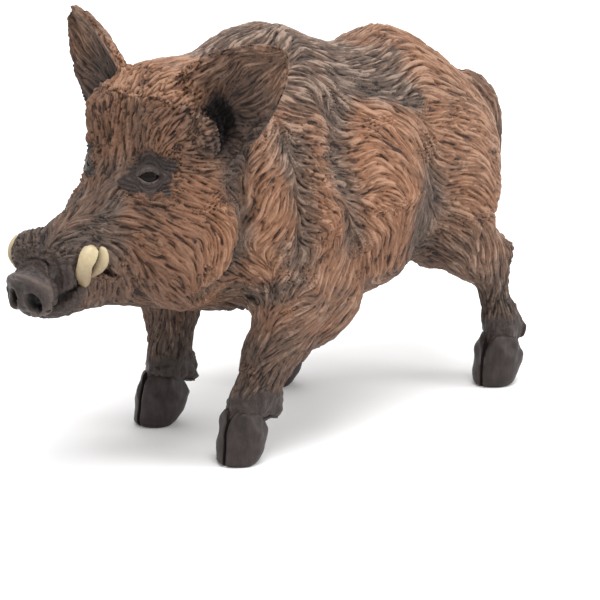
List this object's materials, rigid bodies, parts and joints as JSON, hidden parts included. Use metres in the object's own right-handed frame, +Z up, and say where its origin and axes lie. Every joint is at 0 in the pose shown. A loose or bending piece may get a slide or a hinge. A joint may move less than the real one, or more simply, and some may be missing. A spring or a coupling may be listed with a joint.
{
  "type": "wild boar figurine",
  "caption": "Solid moulded vinyl figure of a walking wild boar, hand-painted, with sculpted bristles, raised ears, curved tusks and split hooves that stand level.",
  "frame": {"origin": "on the floor, in the middle of the figure's box", "axes": "+Z up, +Y towards the tail, so the figure faces -Y, and +X towards its left side"},
  "size_m": [0.0394, 0.0952, 0.0581],
  "materials": {
    "coat": "reddish-brown dry-brushed paint over a dark grey-brown wash on moulded bristles",
    "muzzle": "dark grey-brown satin paint",
    "horn": "brown-black satin paint",
    "ivory": "cream satin paint",
    "eye": "black gloss paint"
  },
  "bodies": {
    "root": {"trunk": "coat", "neck": "coat", "head": "coat", "jaw": "coat", "snout": "muzzle", "tail": "coat", "ear_left": "coat", "ear_right": "coat", "eye_left": "eye", "tusk_lower_left": "ivory", "tusk_upper_left": "ivory", "foreleg_left_upper": "coat", "foreleg_left_lower": "coat", "foreleg_left_claw_outer": "horn", "foreleg_left_claw_inner": "horn", "hindleg_left_upper": "coat", "hindleg_left_lower": "coat", "hindleg_left_claw_outer": "horn", "hindleg_left_claw_inner": "horn", "eye_right": "eye", "tusk_lower_right": "ivory", "tusk_upper_right": "ivory", "foreleg_right_upper": "coat", "foreleg_right_lower": "coat", "foreleg_right_claw_outer": "horn", "foreleg_right_claw_inner": "horn", "hindleg_right_upper": "coat", "hindleg_right_lower": "coat", "hindleg_right_claw_outer": "horn", "hindleg_right_claw_inner": "horn"}
  },
  "joints": []
}
